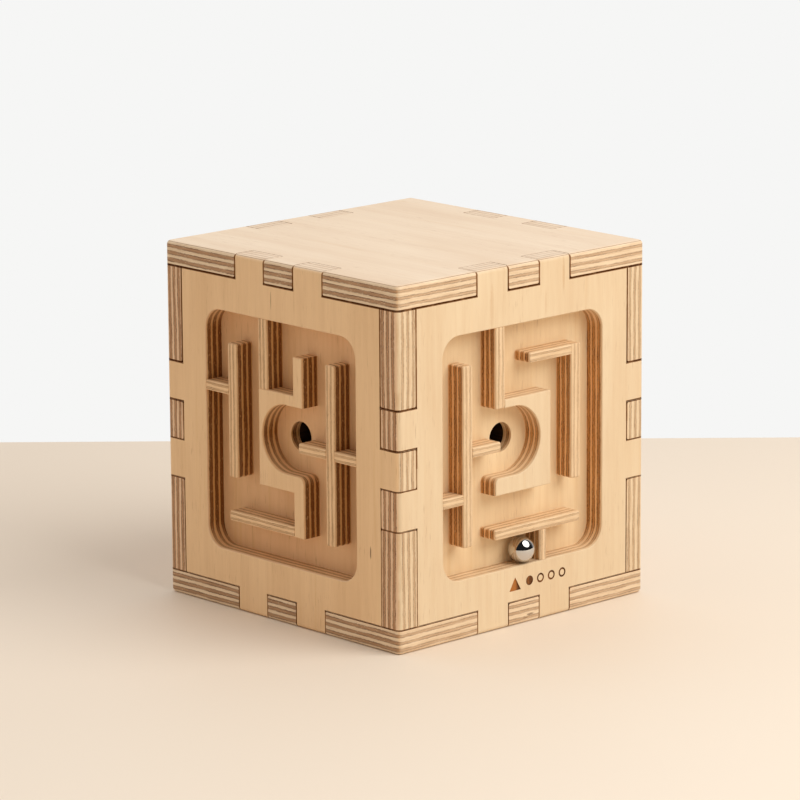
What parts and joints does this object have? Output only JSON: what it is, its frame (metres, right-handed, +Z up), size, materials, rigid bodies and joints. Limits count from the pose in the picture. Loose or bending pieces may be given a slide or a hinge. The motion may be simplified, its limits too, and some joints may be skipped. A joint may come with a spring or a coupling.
{
  "type": "tilt maze game",
  "caption": "Finger-jointed plywood box whose four framed sides are mazes of strips and blocks for a steel ball, joined by holes through the middle.",
  "frame": {"origin": "middle of the underside, on the table", "axes": "+Z up; the front side with the starting place faces -Y, the left side faces -X; axes along the box's edges"},
  "size_m": [0.125, 0.1272, 0.134],
  "materials": {
    "side_panel_ply": "seven-ply birch plywood, sanded and clear finished, faces with upright grain and sawn edges showing the plies",
    "end_panel_ply": "seven-ply birch plywood, sanded and clear finished",
    "corner_block_ply": "birch plywood block with the plies showing on both outer faces",
    "maze_floor_ply": "thin birch plywood board, sanded",
    "maze_strip_ply": "birch plywood strip, sawn sides with the plies showing",
    "hole_block_ply": "birch plywood block, face veneer in front and sawn sides",
    "core_ply": "birch plywood board with routed grooves",
    "ball_steel": "polished bearing steel"
  },
  "bodies": {
    "box": {"back_hanging_upright": "maze_strip_ply", "back_hole_block": "hole_block_ply", "back_hole_ledge": "maze_strip_ply", "back_inner_stub": "maze_strip_ply", "back_inner_upright": "maze_strip_ply", "back_lower_ledge": "maze_strip_ply", "back_maze_floor": "maze_floor_ply", "back_outer_stub": "maze_strip_ply", "back_outer_upright": "maze_strip_ply", "back_panel": "side_panel_ply", "bottom_panel": "end_panel_ply", "core_board_lower": "core_ply", "core_board_upper": "core_ply", "corner_block_back_left_lower": "corner_block_ply", "corner_block_back_left_upper": "corner_block_ply", "corner_block_back_right_lower": "corner_block_ply", "corner_block_back_right_upper": "corner_block_ply", "corner_block_front_left_lower": "corner_block_ply", "corner_block_front_left_upper": "corner_block_ply", "corner_block_front_right_lower": "corner_block_ply", "corner_block_front_right_upper": "corner_block_ply", "front_hanging_upright": "maze_strip_ply", "front_hole_block": "hole_block_ply", "front_hole_ledge": "maze_strip_ply", "front_hook_ledge": "maze_strip_ply", "front_hook_upright": "maze_strip_ply", "front_lower_ledge": "maze_strip_ply", "front_maze_floor": "maze_floor_ply", "front_outer_stub": "maze_strip_ply", "front_outer_upright": "maze_strip_ply", "front_panel": "side_panel_ply", "front_start_stop": "maze_strip_ply", "left_hanging_upright": "maze_strip_ply", "left_hole_block": "hole_block_ply", "left_hole_ledge": "maze_strip_ply", "left_inner_stub": "maze_strip_ply", "left_inner_upright": "maze_strip_ply", "left_lower_ledge": "maze_strip_ply", "left_maze_floor": "maze_floor_ply", "left_outer_stub": "maze_strip_ply", "left_outer_upright": "maze_strip_ply", "left_panel": "side_panel_ply", "right_hanging_upright": "maze_strip_ply", "right_hole_block": "hole_block_ply", "right_hole_ledge": "maze_strip_ply", "right_hook_ledge": "maze_strip_ply", "right_hook_upright": "maze_strip_ply", "right_lower_ledge": "maze_strip_ply", "right_maze_floor": "maze_floor_ply", "right_outer_stub": "maze_strip_ply", "right_outer_upright": "maze_strip_ply", "right_panel": "side_panel_ply", "top_panel": "end_panel_ply"},
    "ball": {"steel_ball": "ball_steel"}
  },
  "joints": [
    {"name": "ball_roll", "type": "slide", "parent": "box", "child": "ball", "axis": [1, 0, 0], "range_m": [-0.0346, 0.0021]}
  ]
}
